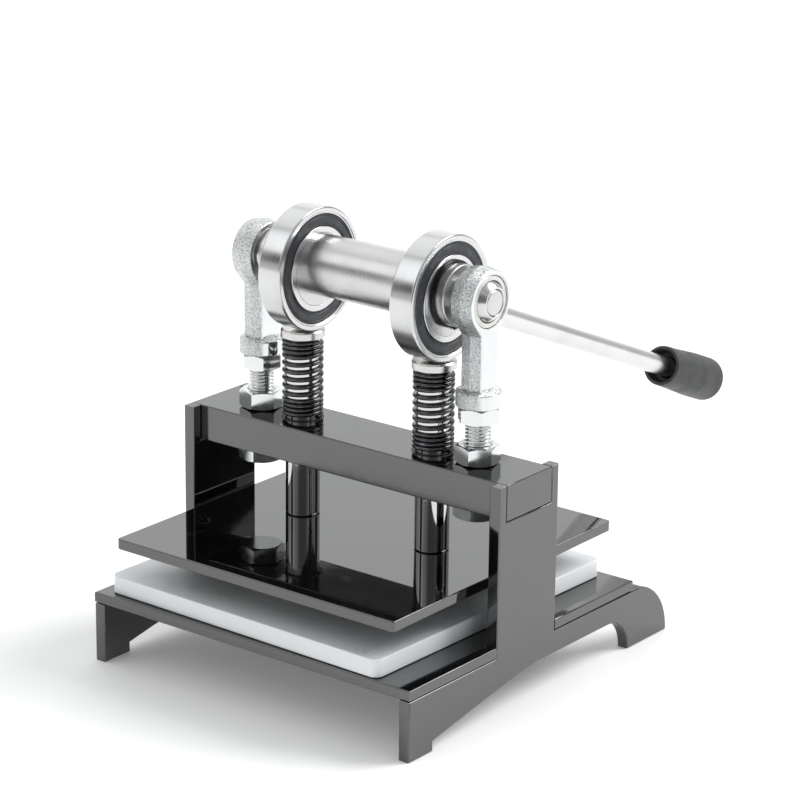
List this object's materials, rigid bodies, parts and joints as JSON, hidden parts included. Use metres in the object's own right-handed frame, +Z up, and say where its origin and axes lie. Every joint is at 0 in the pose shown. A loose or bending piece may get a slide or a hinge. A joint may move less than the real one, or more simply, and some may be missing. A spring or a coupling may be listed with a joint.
{
  "type": "hand-lever die-cutting press",
  "caption": "Bench press: a long handle turns an eccentric shaft whose ball bearings push a sprung press plate down onto a white cutting board on a black steel frame.",
  "frame": {"origin": "on the surface the press stands on, below the centre of the whole object's box, with the handle at its lowest", "axes": "+X along the eccentric shaft to the side plate nearest in the usual view, +Y to the back, the way the handle points at rest, +Z up"},
  "size_m": [0.216, 0.4427, 0.2471],
  "materials": {
    "black_steel": "gloss",
    "press_black": "polished",
    "polished_steel": "polished",
    "turned_steel": "turned",
    "bearing_steel": "ground",
    "spring_steel": "dark oiled",
    "zinc_plate": "bright zinc",
    "bronze": "satin",
    "seal_rubber": "satin",
    "white_board": "satin",
    "grip_rubber": "matte"
  },
  "bodies": {
    "frame": {"side_plate_left": "black_steel", "side_plate_right": "black_steel", "base_plate": "black_steel", "top_beam": "black_steel", "guide_bush_left": "bronze", "guide_bush_right": "bronze", "rod_bolt_left": "zinc_plate", "rod_bolt_right": "zinc_plate", "beam_nut_left": "zinc_plate", "beam_nut_right": "zinc_plate", "jam_nut_left": "zinc_plate", "jam_nut_right": "zinc_plate", "rod_end_housing_left": "zinc_plate", "rod_end_housing_right": "zinc_plate", "rod_end_liner_left": "bronze", "rod_end_liner_right": "bronze", "return_spring_left": "spring_steel", "return_spring_right": "spring_steel"},
    "crank": {"eccentric_shaft": "polished_steel", "bearing_inner_ring_left": "bearing_steel", "bearing_inner_ring_right": "bearing_steel", "rod_end_ball_left": "bearing_steel", "rod_end_ball_right": "bearing_steel", "retaining_ring_left": "spring_steel", "retaining_ring_right": "spring_steel", "handle_rod": "turned_steel", "handle_grip": "grip_rubber"},
    "ram": {"press_plate": "press_black", "press_plate_screw_left": "zinc_plate", "press_plate_screw_right": "zinc_plate", "pillar_left": "polished_steel", "pillar_right": "polished_steel", "spring_cap_left": "turned_steel", "spring_cap_right": "turned_steel"},
    "board": {"cutting_board": "white_board"},
    "bearing_ring_left": {"bearing_outer_ring_left": "bearing_steel", "bearing_seal_left_inboard": "seal_rubber", "bearing_seal_left_outboard": "seal_rubber"},
    "bearing_cage_left": {"bearing_ball_cage_left": "bearing_steel"},
    "bearing_ring_right": {"bearing_outer_ring_right": "bearing_steel", "bearing_seal_right_inboard": "seal_rubber", "bearing_seal_right_outboard": "seal_rubber"},
    "bearing_cage_right": {"bearing_ball_cage_right": "bearing_steel"}
  },
  "joints": [
    {"name": "crank_turn", "type": "hinge", "parent": "frame", "child": "crank", "pos_m": [0, -0.12143, 0.216], "axis": [1, 0, 0], "range_deg": [0, 180]},
    {"name": "ram_slide", "type": "slide", "parent": "frame", "child": "ram", "axis": [0, 0, 1], "range_m": [0, 0.0058], "stiffness_N_per_m": 8000, "springref_m": 0.0108, "deforming": ["return_spring_left", "return_spring_right"]},
    {"name": "board_slide", "type": "slide", "parent": "frame", "child": "board", "axis": [0, -1, 0], "range_m": [0, 0.095]},
    {"name": "bearing_spin_left", "type": "hinge", "parent": "crank", "child": "bearing_ring_left", "pos_m": [-0.0404, -0.12143, 0.2131], "axis": [1, 0, 0], "continuous": true},
    {"name": "bearing_spin_right", "type": "hinge", "parent": "crank", "child": "bearing_ring_right", "pos_m": [0.0478, -0.12143, 0.2131], "axis": [1, 0, 0], "continuous": true},
    {"name": "cage_spin_left", "type": "hinge", "parent": "crank", "child": "bearing_cage_left", "pos_m": [-0.0404, -0.12143, 0.2131], "axis": [1, 0, 0], "continuous": true},
    {"name": "cage_spin_right", "type": "hinge", "parent": "crank", "child": "bearing_cage_right", "pos_m": [0.0478, -0.12143, 0.2131], "axis": [1, 0, 0], "continuous": true}
  ],
  "couplings": [
    {"joint": "ram_slide", "follows": "crank_turn", "m_per_rad": 0.0018461},
    {"joint": "cage_spin_left", "follows": "bearing_spin_left", "ratio": 0.5735},
    {"joint": "cage_spin_right", "follows": "bearing_spin_right", "ratio": 0.5735}
  ]
}
